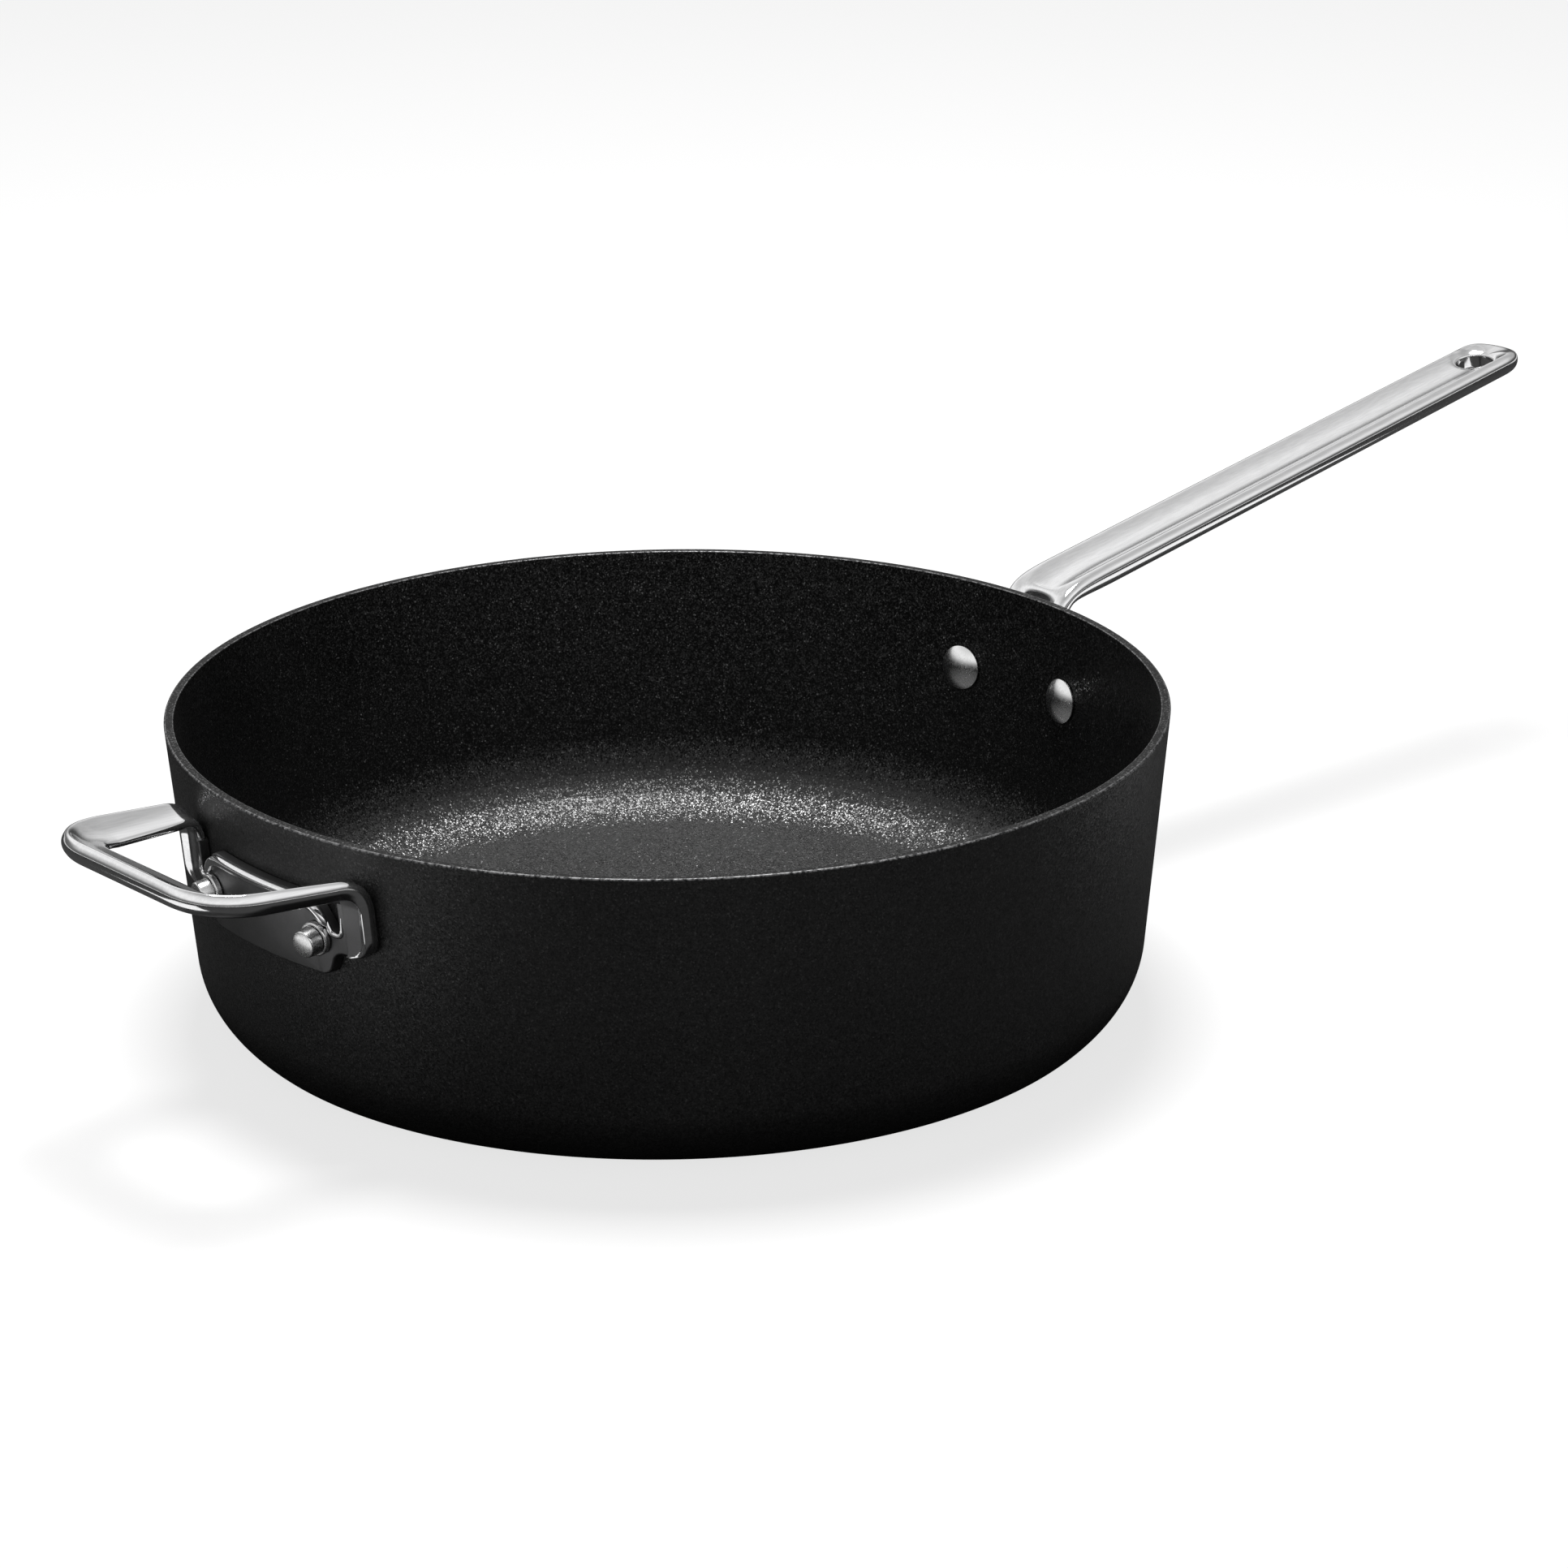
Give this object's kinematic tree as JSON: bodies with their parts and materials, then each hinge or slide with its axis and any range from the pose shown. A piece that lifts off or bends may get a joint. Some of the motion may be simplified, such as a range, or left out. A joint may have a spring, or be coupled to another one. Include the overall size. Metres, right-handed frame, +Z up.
{
  "type": "saute pan",
  "caption": "Deep round saute pan with a coated body, a bonded base plate, a dished long handle and a looped helper handle, both riveted to the wall.",
  "frame": {"origin": "centre of the underside of the base plate, where the pan rests", "axes": "+Z up out of the pan, +X along the long handle away from the pan, helper handle on the -X side"},
  "size_m": [0.5378, 0.28, 0.1225],
  "materials": {
    "coated_body": "black non-stick coating with a fine sparkling grain, bare edge at the rim",
    "base_steel": "turned in circles",
    "polished_steel": "mirror polished",
    "rivet_steel": "satin"
  },
  "bodies": {
    "root": {"pan_body": "coated_body", "base_plate": "base_steel", "long_handle": "polished_steel", "helper_handle": "polished_steel", "long_handle_rivet_a": "rivet_steel", "long_handle_rivet_collar_a": "rivet_steel", "long_handle_rivet_b": "rivet_steel", "long_handle_rivet_collar_b": "rivet_steel", "helper_handle_rivet_a": "rivet_steel", "helper_handle_rivet_collar_a": "rivet_steel", "helper_handle_rivet_b": "rivet_steel", "helper_handle_rivet_collar_b": "rivet_steel"}
  },
  "joints": []
}
